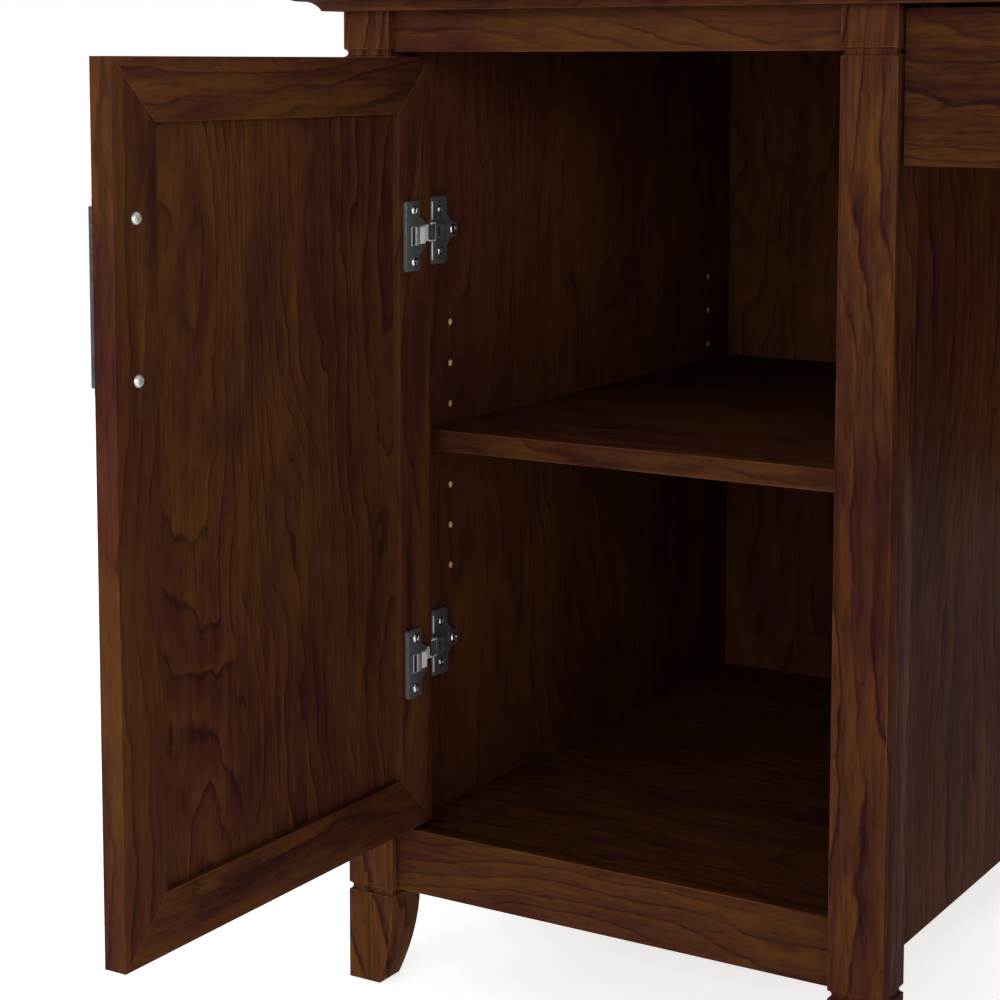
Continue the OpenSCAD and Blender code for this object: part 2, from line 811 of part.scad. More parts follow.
main_top();
return_top();
edge_left();
edge_front();
edge_return_side();
edge_return_end();
post_front_left();
post_front_right();
post_rear_left();
post_rear_right();
corner_post();
return_post_front_outer();
return_post_front_inner();
return_post_rear_outer();
return_post_rear_inner();
left_side_panel();
right_side_panel();
cabinet_back();
cabinet_deck();
cabinet_top_rail();
cabinet_bottom_rail();
modesty_panel();
return_end_panel();
return_inner_panel();
return_back();
return_deck();
return_top_rail();
return_bottom_rail();
return_modesty_panel();
shelf();
shelf_pins();
door_catch();
door_hinge_stile();
door_pull_stile();
door_top_rail();
door_bottom_rail();
door_panel();
door_pull();
door_screws();
hinge_cups();
hinge_pins();
hinge_arms();
hinge_arm_screws();
drawer_hangers();
slide_channels();
kneehole_drawer_front();
kneehole_drawer_box();
kneehole_drawer_pull();
kneehole_slides();
box_drawer_front();
box_drawer_box();
box_drawer_pull();
box_drawer_slides();
file_drawer_front();
file_drawer_box();
file_drawer_pull();
file_drawer_slides();
kneehole_drawer_members();
box_drawer_members();
file_drawer_members();
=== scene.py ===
"""Looks of the corner desk: woodgrain laminate, eased boards, finer hinges, screws, slide fixings."""

import json
import math

import bmesh
import bpy
from mathutils import Matrix, Vector

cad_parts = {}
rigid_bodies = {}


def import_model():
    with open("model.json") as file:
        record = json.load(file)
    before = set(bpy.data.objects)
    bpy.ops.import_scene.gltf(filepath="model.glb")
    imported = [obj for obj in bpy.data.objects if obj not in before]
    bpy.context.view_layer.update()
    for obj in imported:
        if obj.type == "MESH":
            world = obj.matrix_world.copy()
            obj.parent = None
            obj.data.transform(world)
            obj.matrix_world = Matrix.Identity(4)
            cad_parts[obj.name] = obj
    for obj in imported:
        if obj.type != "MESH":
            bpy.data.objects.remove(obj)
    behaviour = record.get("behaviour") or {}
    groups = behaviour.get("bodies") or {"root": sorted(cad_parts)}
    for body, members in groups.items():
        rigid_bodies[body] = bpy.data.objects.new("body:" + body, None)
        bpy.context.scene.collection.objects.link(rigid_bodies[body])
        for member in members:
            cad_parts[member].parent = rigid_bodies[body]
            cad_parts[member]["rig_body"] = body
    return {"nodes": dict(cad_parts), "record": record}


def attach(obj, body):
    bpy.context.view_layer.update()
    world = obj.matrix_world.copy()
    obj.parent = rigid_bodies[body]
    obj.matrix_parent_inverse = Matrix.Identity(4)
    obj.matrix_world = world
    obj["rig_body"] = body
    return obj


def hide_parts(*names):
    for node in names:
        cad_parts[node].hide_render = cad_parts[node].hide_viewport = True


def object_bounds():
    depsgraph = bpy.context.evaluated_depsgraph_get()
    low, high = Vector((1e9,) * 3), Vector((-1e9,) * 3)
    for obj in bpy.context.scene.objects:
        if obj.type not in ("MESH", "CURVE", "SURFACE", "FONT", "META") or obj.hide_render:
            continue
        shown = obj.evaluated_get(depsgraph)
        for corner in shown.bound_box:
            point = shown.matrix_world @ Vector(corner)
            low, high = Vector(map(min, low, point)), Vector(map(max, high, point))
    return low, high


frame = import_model()
cad_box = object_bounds()
NODES = frame["nodes"]
MM = 0.001


# ---- Shader helpers ----

def new_material(name):
    """An empty node material with its shader wired up: (material, node tree, shader)."""
    material = bpy.data.materials.new(name)
    material.use_nodes = True
    tree = material.node_tree
    tree.nodes.clear()
    out = tree.nodes.new("ShaderNodeOutputMaterial")
    shader = tree.nodes.new("ShaderNodeBsdfPrincipled")
    tree.links.new(shader.outputs["BSDF"], out.inputs["Surface"])
    return material, tree, shader


def srgb(red, green, blue):
    """A linear RGBA colour from 0..255 sRGB values."""
    def linear(c):
        c /= 255
        return c / 12.92 if c <= 0.04045 else ((c + 0.055) / 1.055) ** 2.4
    return (linear(red), linear(green), linear(blue), 1.0)


def feed(tree, socket, value):
    """Gives an input socket its value, which is another socket or a constant."""
    if isinstance(value, bpy.types.NodeSocket):
        tree.links.new(value, socket)
    else:
        socket.default_value = value


def noise(tree, vector, scale, detail=3.0, roughness=0.55, distortion=0.0):
    """The factor of a noise texture over the given coordinates."""
    node = tree.nodes.new("ShaderNodeTexNoise")
    node.inputs["Scale"].default_value = scale
    node.inputs["Detail"].default_value = detail
    node.inputs["Roughness"].default_value = roughness
    node.inputs["Distortion"].default_value = distortion
    tree.links.new(vector, node.inputs["Vector"])
    return node.outputs["Fac"]


def ramp(tree, factor, stops):
    """A colour ramp through (position, colour or grey) stops."""
    node = tree.nodes.new("ShaderNodeValToRGB")
    elements = node.color_ramp.elements
    while len(elements) < len(stops):
        elements.new(0.5)
    for element, (position, value) in zip(elements, stops):
        element.position = position
        element.color = value if isinstance(value, tuple) else (value, value, value, 1.0)
    tree.links.new(factor, node.inputs["Fac"])
    return node.outputs["Color"]


def mix(tree, kind, factor, a, b):
    """Mixes colours a and b; each of factor, a and b is a socket or a value."""
    node = tree.nodes.new("ShaderNodeMix")
    node.data_type = "RGBA"
    node.blend_type = kind
    # The node has a set of sockets for each data type: 0 is the factor, 6 and 7 are the colours.
    feed(tree, node.inputs[0], factor)
    feed(tree, node.inputs[6], a)
    feed(tree, node.inputs[7], b)
    return node.outputs[2]


def maths(tree, operation, a, b=0.0):
    """A maths node on two sockets or numbers."""
    node = tree.nodes.new("ShaderNodeMath")
    node.operation = operation
    feed(tree, node.inputs[0], a)
    feed(tree, node.inputs[1], b)
    return node.outputs[0]


def coordinates(tree, rotation, offset):
    """Object coordinates, turned so that the grain runs along Z, then moved."""
    source = tree.nodes.new("ShaderNodeTexCoord")
    node = tree.nodes.new("ShaderNodeMapping")
    node.inputs["Rotation"].default_value = rotation
    node.inputs["Location"].default_value = offset
    tree.links.new(source.outputs["Object"], node.inputs["Vector"])
    return node.outputs["Vector"]


def stretched(tree, vector, scale):
    """Coordinates scaled along each axis, so a small number draws the pattern out."""
    node = tree.nodes.new("ShaderNodeMapping")
    node.inputs["Scale"].default_value = scale
    tree.links.new(vector, node.inputs["Vector"])
    return node.outputs["Vector"]


def roughen(tree, shader, factor, stops):
    """Lets the shader's roughness follow a factor."""
    tree.links.new(ramp(tree, factor, stops), shader.inputs["Roughness"])


def emboss(tree, shader, height, strength, distance):
    """Gives the shader a bump from a height."""
    node = tree.nodes.new("ShaderNodeBump")
    node.inputs["Strength"].default_value = strength
    node.inputs["Distance"].default_value = distance
    tree.links.new(height, node.inputs["Height"])
    tree.links.new(node.outputs["Normal"], shader.inputs["Normal"])


# ---- Materials ----

GRAIN_TURN = {"z": (0, 0, 0), "x": (0, math.pi / 2, 0), "y": (math.pi / 2, 0, 0)}


def cherry(name, grain, seed, figure=1.0, light=1.0, lines=0.75):
    """Dark cherry laminate: growth lines as contours of a slow field, golden beside each dark line.

    grain is the axis along which the fibres run, figure how far the growth lines wander and close
    into loops, light scales the whole colour, and lines is how strong lines and streaks are."""
    material, tree, shader = new_material(name)
    offset = (0.37 * seed + 0.23, 0.11 * seed - 0.31, 0.53 * seed)
    turned = coordinates(tree, GRAIN_TURN[grain], offset)

    def along(length, *settings):
        """Noise drawn out along the grain."""
        return noise(tree, stretched(tree, turned, (1.0, 1.0, length)), *settings)

    # The field's level rises across the board, so its contours run with the grain.
    long = stretched(tree, turned, (1.0, 1.0, 0.36))
    split = tree.nodes.new("ShaderNodeSeparateXYZ")
    tree.links.new(turned, split.inputs[0])
    across = maths(tree, "ADD", split.outputs["X"], split.outputs["Y"])
    level = maths(tree, "MULTIPLY", across, 50.0)
    for scale, amount, detail in (
            (6.0, 14.0 * figure, 1.0), (19.0, 2.6 * figure, 2.0), (75.0, 0.65, 3.0)):
        wander = noise(tree, long, scale, detail, 0.5, 0.3)
        level = maths(tree, "ADD", level, maths(tree, "MULTIPLY", wander, amount))
    ring = maths(tree, "FRACT", level)

    # Strength of the lines, which fade in and out along their length.
    fading = along(0.16, 48.0, 2.0, 0.5)
    strength = ramp(tree, fading, [(0.34, 0.3), (0.56, 1.0)])

    patches = along(0.35, 8.0, 3.0, 0.55, 0.9)
    tone = ramp(tree, patches, [
        (0.34, srgb(58, 25, 22)), (0.46, srgb(66, 33, 23)),
        (0.56, srgb(75, 42, 22)), (0.68, srgb(62, 28, 23)),
    ])
    # Narrow golden and red streaks, then gold up to each growth line and a dark edge after it.
    bands = along(0.06, 130.0, 3.0, 0.65, 0.2)
    gold_streak = ramp(tree, bands, [(0.5, 0.0), (0.66, 0.4 * lines)])
    tone = mix(tree, "MIX", gold_streak, tone, srgb(86, 49, 21))
    red_streak = ramp(tree, bands, [(0.34, 0.45 * lines), (0.48, 0.0)])
    tone = mix(tree, "MIX", red_streak, tone, srgb(47, 18, 18))
    golden = ramp(tree, ring, [(0.35, 0.0), (0.8, 0.42 * lines), (0.88, 0.0)])
    tone = mix(tree, "MIX", maths(tree, "MULTIPLY", golden, strength), tone, srgb(94, 51, 21))
    dark = ramp(tree, ring, [(0.0, 0.35), (0.12, 0.0), (0.85, 0.0), (0.92, 1.0), (1.0, 0.55)])
    dark = maths(tree, "MULTIPLY", maths(tree, "MULTIPLY", dark, strength), 0.8 * lines)
    tone = mix(tree, "MIX", dark, tone, srgb(27, 11, 17))

    # Cool purple-brown clouds, fine fibres, and short dark pores.
    clouds = ramp(tree, along(0.3, 24.0, 3.0, 0.6, 0.7), [(0.52, 0.0), (0.7, 0.6)])
    tone = mix(tree, "MIX", clouds, tone, srgb(48, 22, 22))
    fibre = along(0.09, 380.0, 3.0, 0.62)
    streak = ramp(tree, fibre, [(0.3, 1 - 0.36 * lines), (0.5, 1.0), (0.72, 1 + 0.28 * lines)])
    tone = mix(tree, "MULTIPLY", 0.85, tone, streak)
    dash = ramp(tree, along(0.14, 700.0, 1.0, 0.5), [(0.63, 0.0), (0.72, 1.0)])
    tone = mix(tree, "MIX", maths(tree, "MULTIPLY", dash, 0.45 * lines), tone, srgb(30, 12, 10))
    tone = mix(tree, "MULTIPLY", 1.0, tone, (light, 1.1 * light, 1.06 * light, 1.0))
    tree.links.new(tone, shader.inputs["Base Color"])

    roughen(tree, shader, fibre, [(0.3, 0.5), (0.7, 0.4)])
    shader.inputs["IOR"].default_value = 1.1
    shader.inputs["Specular IOR Level"].default_value = 0.08
    emboss(tree, shader, maths(tree, "SUBTRACT", fibre, dash), 0.12, 0.0003)
    return material


def maple(name):
    """Pale maple laminate of the drawers' boxes, whose soft figure lies in level bands."""
    material, tree, shader = new_material(name)
    turned = coordinates(tree, (0, 0, 0), (0.2, 0.4, 0.1))
    figure = noise(tree, stretched(tree, turned, (0.6, 0.6, 14.0)), 6.0, 4.0, 0.6, 0.8)
    base = ramp(tree, figure, [
        (0.3, srgb(150, 119, 86)), (0.5, srgb(166, 136, 102)), (0.72, srgb(157, 126, 92)),
    ])
    fibre = noise(tree, stretched(tree, turned, (0.5, 0.5, 24.0)), 42.0, 3.0, 0.6)
    streak = ramp(tree, fibre, [(0.3, 0.88), (0.7, 1.06)])
    tree.links.new(mix(tree, "MULTIPLY", 0.9, base, streak), shader.inputs["Base Color"])
    roughen(tree, shader, fibre, [(0.3, 0.55), (0.7, 0.45)])
    shader.inputs["Specular IOR Level"].default_value = 0.35
    return material


def metal(name, light, dark, rough_low, rough_high, metallic=1.0, brushed=(1.0, 1.0, 1.0)):
    """Metal between two tones, with fine scratches stretched by brushed, and a patchy polish.

    metallic is under 1 where a plating or lacquer scatters some of the light."""
    material, tree, shader = new_material(name)
    turned = coordinates(tree, (0, 0, 0), (0.1, 0.2, 0.3))
    scratches = noise(tree, stretched(tree, turned, brushed), 260.0, 3.0, 0.6)
    polish = ramp(tree, noise(tree, turned, 45.0, 2.0, 0.5), [(0.3, 0.75), (0.7, 1.1)])
    tone = ramp(tree, scratches, [(0.3, dark), (0.7, light)])
    tree.links.new(mix(tree, "MULTIPLY", 0.35, tone, polish), shader.inputs["Base Color"])
    roughen(tree, shader, scratches, [(0.3, rough_low), (0.7, rough_high)])
    shader.inputs["Metallic"].default_value = metallic
    emboss(tree, shader, scratches, 0.08, 0.0002)
    return material


def matte(name, low, high, rough, scale=90.0):
    """A dull surface that wanders between two colours."""
    material, tree, shader = new_material(name)
    grain = noise(tree, coordinates(tree, (0, 0, 0), (0, 0, 0)), scale, 3.0, 0.6)
    tree.links.new(ramp(tree, grain, [(0.35, low), (0.65, high)]), shader.inputs["Base Color"])
    roughen(tree, shader, grain, [(0.3, rough), (0.7, rough + 0.1)])
    return material


# The fourth argument, light, was set board by board to each board's brightness under these lamps: partly
# the board's own tone, partly painted light and shade, with CHERRY_SIDE's boards lighter (1.18) and the
# drawer fronts (0.72) and outer side panels (0.88) darker.
CHERRY_POST = cherry("cherry_post", "z", 1, 0.55, 1.04, 1.0)
CHERRY_STILE = cherry("cherry_stile", "z", 4, 0.5, 1.0, 0.6)
CHERRY_PANEL = cherry("cherry_panel", "z", 7, 1.2, 1.0, 0.8)
CHERRY_BACK = cherry("cherry_back", "z", 12, 0.9, 0.95, 0.6)
CHERRY_SIDE = cherry("cherry_side", "z", 3, 0.75, 1.18, 0.6)
CHERRY_OUTER = cherry("cherry_outer_side", "z", 13, 0.6, 0.88, 0.8)
CHERRY_X = cherry("cherry_along_x", "x", 2, 0.7, 0.96, 0.65)
CHERRY_Y = cherry("cherry_along_y", "y", 5, 0.7, 1.0, 0.75)
CHERRY_DRAWER_X = cherry("cherry_drawer_x", "x", 9, 1.2, 0.72, 1.0)
CHERRY_DRAWER_Y = cherry("cherry_drawer_y", "y", 11, 1.2, 0.72, 1.0)
CHERRY_TOP_X = cherry("cherry_top_x", "x", 6, 0.8)
CHERRY_TOP_Y = cherry("cherry_top_y", "y", 8, 0.8)
CHERRY_EDGE_HIGHLIGHT = {      # painted highlight on the boards' rounded edges: lighter copies of the laminate
    "z": cherry("cherry_worn_z", "z", 1, 0.5, 1.9),
    "x": cherry("cherry_worn_x", "x", 2, 0.5, 1.9),
    "y": cherry("cherry_worn_y", "y", 5, 0.5, 1.9),
}
MAPLE = maple("maple")
PEWTER = metal("pewter", srgb(84, 82, 80), srgb(56, 54, 52), 0.34, 0.46, 0.8)
GUNMETAL = metal("gunmetal", srgb(104, 104, 106), srgb(84, 84, 86), 0.32, 0.42, 0.3)
STEEL = metal("cup_steel", srgb(172, 172, 174), srgb(146, 146, 148), 0.28, 0.38, 0.4)
BRIGHT = metal("bright_steel", srgb(222, 221, 218), srgb(192, 191, 188), 0.24, 0.34, 0.6)
POLISHED = metal("polished_steel", srgb(226, 225, 222), srgb(186, 185, 182), 0.1, 0.18, 1.0)
PLATED = metal("plated_steel", srgb(253, 253, 254), srgb(244, 244, 246), 0.3, 0.4, 0.12)
ZINC = metal("zinc", srgb(158, 160, 164), srgb(138, 140, 145), 0.3, 0.4, 0.9, (0.12, 0.12, 7.0))
TAN = matte("raw_board", srgb(226, 176, 112), srgb(246, 202, 138), 0.6, 700.0)
# Painted shade: near-black for the mouths of hollows, slots and holes, where the dark comes from shade.
PAINTED_SHADE = matte("hollow_dark", srgb(16, 15, 15), srgb(24, 23, 22), 0.6)


def material_of(node):
    """The material of a CAD node, from its name."""
    if node in ("main_top", "edge_front", "edge_return_end"):
        return CHERRY_TOP_X
    if node in ("return_top", "edge_return_side", "edge_left"):
        return CHERRY_TOP_Y
    if "post" in node:
        return CHERRY_POST
    if node.endswith("drawer_box"):
        return MAPLE
    if node.endswith("pull"):
        return PEWTER
    if "slide" in node or node.endswith("members") or node == "shelf_pins":
        return ZINC
    if node in ("hinge_pins", "door_screws", "hinge_arm_screws", "door_catch"):
        return BRIGHT
    if node in ("hinge_cups", "hinge_arms"):
        return GUNMETAL
    if node in ("door_hinge_stile", "door_pull_stile"):
        return CHERRY_STILE
    if node == "door_panel":
        return CHERRY_PANEL
    if node in ("right_side_panel", "return_inner_panel", "return_end_panel"):
        return CHERRY_OUTER
    if node in ("cabinet_back", "return_back"):
        return CHERRY_BACK
    if node == "kneehole_drawer_front":
        return CHERRY_DRAWER_X
    if node in ("box_drawer_front", "file_drawer_front"):
        return CHERRY_DRAWER_Y
    if node in ("cabinet_top_rail", "cabinet_bottom_rail", "shelf", "modesty_panel", "cabinet_deck"):
        return CHERRY_X
    if node in ("door_top_rail", "door_bottom_rail", "return_top_rail", "return_bottom_rail",
                "return_modesty_panel", "return_deck", "drawer_hangers"):
        return CHERRY_Y
    return CHERRY_SIDE


for name, obj in NODES.items():
    obj.data.materials.clear()
    obj.data.materials.append(material_of(name))


# ---- Mesh helpers ----

SHADING_ANGLE = math.radians(38)     # edges sharper than this stay crisp in the shading
SHARP_ANGLE = math.radians(40)       # edges of a board sharper than this are rounded over
FLAT_ANGLE = math.radians(1)         # triangles flatter than this are merged into one face
WELD = 2e-6                          # vertices closer than this, in metres, are one


def finish_piece(mesh_name, bm, material, body, slot):
    """Turns a bmesh into a piece that rides on a body and takes the given material."""
    bmesh.ops.recalc_face_normals(bm, faces=bm.faces)
    mesh = bpy.data.meshes.new(mesh_name)
    bm.to_mesh(mesh)
    bm.free()
    piece = bpy.data.objects.new(mesh_name, mesh)
    bpy.context.scene.collection.objects.link(piece)
    mesh.materials.append(material)
    mesh.shade_smooth()
    mesh.set_sharp_from_angle(angle=SHADING_ANGLE)
    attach(piece, body)
    return piece


SLOT_OF = {s["node"]: s["material_slot"] for s in frame["record"]["subparts"]}


def grain_of(node):
    """The axis along which a board's fibres run, from the name of its material."""
    name = material_of(node).name
    return name[-1] if name[-1] in "xy" else "z"


def eased(node, width):
    """Stands in for a board with a copy whose sharp edges are rounded over by width."""
    source = NODES[node]
    bm = bmesh.new()
    bm.from_mesh(source.data)
    bmesh.ops.remove_doubles(bm, verts=bm.verts, dist=WELD)
    bmesh.ops.dissolve_limit(bm, angle_limit=FLAT_ANGLE, verts=bm.verts, edges=bm.edges)
    sharp = [e for e in bm.edges if len(e.link_faces) == 2 and e.calc_face_angle(0) > SHARP_ANGLE]
    rounded = bmesh.ops.bevel(bm, geom=sharp, offset=width, segments=2, profile=0.5,
                              affect="EDGES", clamp_overlap=True)
    # The rounded faces take a lighter copy of the laminate, appended below: a painted highlight along
    # every rounded edge.
    for face in rounded["faces"]:
        face.material_index = 1
    material = material_of(node)
    piece = finish_piece(node + "_board", bm, material, source["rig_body"], SLOT_OF[node])
    piece.data.materials.append(CHERRY_EDGE_HIGHLIGHT[grain_of(node)])
    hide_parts(node)


BOARDS = {           # by how far their edges are rounded over, in millimetres
    0.5: ["post_front_left", "post_front_right", "post_rear_left", "post_rear_right", "corner_post",
          "return_post_front_outer", "return_post_front_inner", "return_post_rear_outer",
          "return_post_rear_inner", "kneehole_drawer_front", "box_drawer_front", "file_drawer_front",
          "shelf", "cabinet_top_rail", "cabinet_bottom_rail", "return_top_rail",
          "return_bottom_rail", "modesty_panel", "return_modesty_panel"],
    0.4: ["door_hinge_stile", "door_pull_stile", "door_top_rail", "door_bottom_rail",
          "edge_left", "edge_front", "edge_return_side", "edge_return_end"],
}
for width, names in BOARDS.items():
    for name in names:
        eased(name, width * MM)


# ---- Hinges, screws and pin holes ----

# In the frame's metres, the left post's front corner on the floor. The rest is in millimetres from it.
CABINET = Vector((-0.7217, 0.1803, 0))
HINGE_HEIGHTS = (575.7, 256.5)
PIVOT_X, PIVOT_Y = 51.1, 13.6        # the axis of the door's pins
PULL_SCREW_HEIGHTS = (606.2, 504.6)

PIN_COUNT = 7                        # shelf pin holes in a column; the middle one holds a pin
PIN_MIDDLE = 408.1
PIN_PITCH = 31.75
PIN_ROWS = (79.4, 523.6)
PIN_HOLE_RADIUS, PIN_HOLE_DEPTH = 2.47, 3
LEFT_MOUTH, RIGHT_MOUTH = 42.02, 394.98   # just inside the mouths of the holes in the side panels


def at(x, y, z):
    """A point of the cabinet, in millimetres from its left post's front corner on the floor."""
    return CABINET + Vector((x, y, z)) * MM


def prism(bm, outline, low, high, ease, place):
    """Adds a solid between two levels of an outline, its edges rounded by ease millimetres."""
    ends = [[bm.verts.new(place(a, b, level)) for a, b in outline] for level in (low, high)]
    faces = [bm.faces.new(ends[0]), bm.faces.new(list(reversed(ends[1])))]
    count = len(outline)
    for i in range(count):
        j = (i + 1) % count
        faces.append(bm.faces.new((ends[0][j], ends[0][i], ends[1][i], ends[1][j])))
    bmesh.ops.recalc_face_normals(bm, faces=faces)
    if ease:
        edges = list({e for f in faces for e in f.edges})
        bmesh.ops.bevel(bm, geom=edges, offset=ease * MM, segments=2, profile=0.5, affect="EDGES",
                        clamp_overlap=True)


def plate(bm, z, outline, low, high, ease):
    """A solid across X between low and high, over an outline in Y and height above z."""
    prism(bm, outline, low, high, ease, lambda y, h, x: at(x, y, z + h))


def bar(bm, z, y, h, x, ease):
    """A rounded bar from (low, high) pairs in Y, height above z, and X."""
    plate(bm, z, [(y[0], h[0]), (y[1], h[0]), (y[1], h[1]), (y[0], h[1])], x[0], x[1], ease)


def mirrored(half):
    """An outline from its upper half, which runs from the front to the back."""
    return half + [(y, -h) for y, h in reversed(half)]


def disc(bm, centre, radius, depth, count=20):
    """A short round plug along X."""
    turns = [2 * math.pi * i / count for i in range(count)]
    rims = [[bm.verts.new(centre + Vector((
        d * MM, math.cos(a) * radius * MM, math.sin(a) * radius * MM))) for a in turns]
        for d in (-depth, 0)]
    bm.faces.new(rims[0])
    bm.faces.new(list(reversed(rims[1])))
    for i in range(count):
        j = (i + 1) % count
        bm.faces.new((rims[0][j], rims[0][i], rims[1][i], rims[1][j]))


def screw_head(bm, centre, radius, height, turn=0.0):
    """A domed screw head towards +X with a cross recess, drawn as a fine polar net."""
    rings, count = 14, 64
    arm, reach = radius * 0.13, radius * 0.62
    grid = []
    for r in range(rings + 1):
        distance = radius * r / rings
        row = []
        for i in range(count):
            angle = 2 * math.pi * i / count
            y, z = distance * math.cos(angle), distance * math.sin(angle)
            u = y * math.cos(turn) + z * math.sin(turn)
            v = z * math.cos(turn) - y * math.sin(turn)
            rise = height * (1 - (distance / radius) ** 3.2) ** 0.6 if r < rings else 0
            inside = (abs(u) < arm and abs(v) < reach) or (abs(v) < arm and abs(u) < reach)
            if inside:
                rise -= 0.6 * height
            row.append(bm.verts.new(centre + Vector((rise, y, z)) * MM))
            if r == 0:          # the middle is one vertex, shared all the way round
                row = row * count
                break
        grid.append(row)
    for inner, outer in zip(grid, grid[1:]):
        for i in range(count):
            j = (i + 1) % count
            corners = (inner[i], outer[i], outer[j], inner[j]) if inner[i] != inner[j] else (
                inner[i], outer[i], outer[j])
            bm.faces.new(corners)
    bm.faces.new(grid[-1])


def gather(name, material, body, slot_name, draw, replaced=()):
    """A piece drawn once at each hinge."""
    bm = bmesh.new()
    for z in HINGE_HEIGHTS:
        draw(bm, z)
    piece = finish_piece(name, bm, material, body, slot_name)
    if replaced:
        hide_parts(*replaced)


def door_plates(bm, z):
    """The plate on the door, tapering to a tail round the cup."""
    plate(bm, z, mirrored([(-14, 24.5), (-13, 25.75), (3.2, 25.75), (4, 24.9), (4, 14.2), (11.2, 9.4),
                           (11.8, 7.2), (2.8, 7.2)]), 62.0, 65.0, 0.5)


def cup_lips(bm, z):
    """The rolled rim of the cup in the door."""
    bar(bm, z, (-2.9, 2.6), (-6.9, 6.9), (64.6, 66.3), 0.7)
    bar(bm, z, (-7.6, -6.3), (-6.6, 6.6), (64.6, 65.5), 0.4)
    for side in (-1, 1):
        bar(bm, z, (-7.6, -2.9), (side * 6.6 - 0.5, side * 6.6 + 0.5), (64.6, 65.4), 0.3)


def door_links(bm, z):
    """The link's end that turns with the door, between the cup and the pin."""
    bar(bm, z, (2.7, 11.8), (-6.2, 6.2), (62.1, 64.9), 0.5)


def cup_hollow_shade(bm, z):
    """The mouth of the cup, as a thin near-black plate: painted shade."""
    bar(bm, z, (-6.3, -2.9), (-6.1, 6.1), (64.7, 65.06), 0)


def sleeve(bm, x, y, outer, inner, low, high, count=32):
    """A round sleeve along Z, bored through."""
    turns = [2 * math.pi * i / count for i in range(count)]
    rims = [[bm.verts.new(at(x + radius * math.cos(a), y + radius * math.sin(a), level))
             for a in turns]
            for radius, level in ((outer, low), (outer, high), (inner, high), (inner, low))]
    for lower, upper in zip(rims, rims[1:] + rims[:1]):
        for i in range(count):
            j = (i + 1) % count
            bm.faces.new((lower[i], lower[j], upper[j], upper[i]))


def hinge_links(bm, z):
    """The bright link from the sleeve round the pin, with its two turned-up edges."""
    bar(bm, z, (15.8, 36.2), (-6.1, 6.1), (47.2, 51.1), 0.4)
    for side in (-1, 1):
        bar(bm, z, (16, 36.2), (side * 6.1 - 0.4, side * 6.1 + 0.4), (46.9, 51.6), 0.25)
    sleeve(bm, PIVOT_X, PIVOT_Y, 3.4, 2.0, z - 6.1, z + 6.1)


def knuckle_highlights(bm, z):
    """Painted highlights: near-white strips round the knuckle where the link enters the arm, and along
    the edges of the plate beside it.
    """
    bar(bm, z, (37.4, 45.2), (-7.0, 7.0), (46.0, 51.7), 0.4)
    for side in (-1, 1):
        low, high = sorted((side * 8.4, side * 22.2))
        bar(bm, z, (49.9, 51.1), (low, high), (44.4, 45.35), 0.3)


def arm_plates(bm, z):
    """The plate on the side panel with its tail, the knuckle, and the arm's sloping back."""
    plate(bm, z, mirrored([(50, 24.2), (51.2, 25.75), (68.6, 25.75), (71, 23.4), (71, 11.6), (75.4, 8.6),
                           (76, 6.5), (83.2, 6.5), (84.2, 5.4)]), 42.1, 45.1, 0.5)
    bar(bm, z, (37.4, 44.3), (-6.1, 6.1), (46.2, 52.1), 0.5)
    prism(bm, [(42.6, 44.6), (51.4, 45), (51.0, 57), (47.0, 66), (46.8, 82), (42.6, 82.4)],
          z - 5.9, z + 5.9, 0.5, lambda x, y, h: at(x, y, h))


def arm_hollow_shade(bm, z):
    """Painted shade: a thin near-black plate for the arm's slot, and two small dark discs for holes by
    each of the plate's screws.
    """
    bar(bm, z, (48.6, 50.8), (-3.6, 3.6), (50.6, 51.32), 0)
    for side in (-1, 1):
        for step in (-4.9, 4.9):
            disc(bm, at(45.14, 60.5, z + side * 15.9 + step), 0.75, 0.3)


def arm_screws(bm, z):
    """The plate's two screws and the adjusting screw on the arm."""
    for side in (-1, 1):
        screw_head(bm, at(45.1, 60.5, z + side * 15.9), 3.5, 1.9, 0.4)
    screw_head(bm, at(46.8, 76.6, z), 4.1, 1.6, 0.2)


def all_door_screws():
    """The polished screws of the door's hinge plates, and the pull's pan head screws."""
    bm = bmesh.new()
    for z in HINGE_HEIGHTS:
        for side in (-1, 1):
            screw_head(bm, at(65.0, -3.4, z + side * 19), 3.5, 1.7, 0.3 + side)
    for face in bm.faces:
        face.material_index = 1
    for z in PULL_SCREW_HEIGHTS:
        screw_head(bm, at(62.0, -308.2, z), 4.2, 2.5, 0.75)
    piece = finish_piece("door_screw_heads", bm, BRIGHT, "door", "bright_steel")
    piece.data.materials.append(POLISHED)
    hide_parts("door_screws")


def pin_hole_linings():
    """The raw board that shows inside each shelf pin hole."""
    bm = bmesh.new()
    middle = (PIN_COUNT - 1) // 2
    for y in PIN_ROWS:
        for i in range(PIN_COUNT):
            if i != middle:
                z = PIN_MIDDLE + (i - middle) * PIN_PITCH
                for x in (LEFT_MOUTH, RIGHT_MOUTH + PIN_HOLE_DEPTH):
                    disc(bm, at(x, y, z), PIN_HOLE_RADIUS, PIN_HOLE_DEPTH)
    finish_piece("pin_hole_linings", bm, TAN, "desk_frame", "back_board")


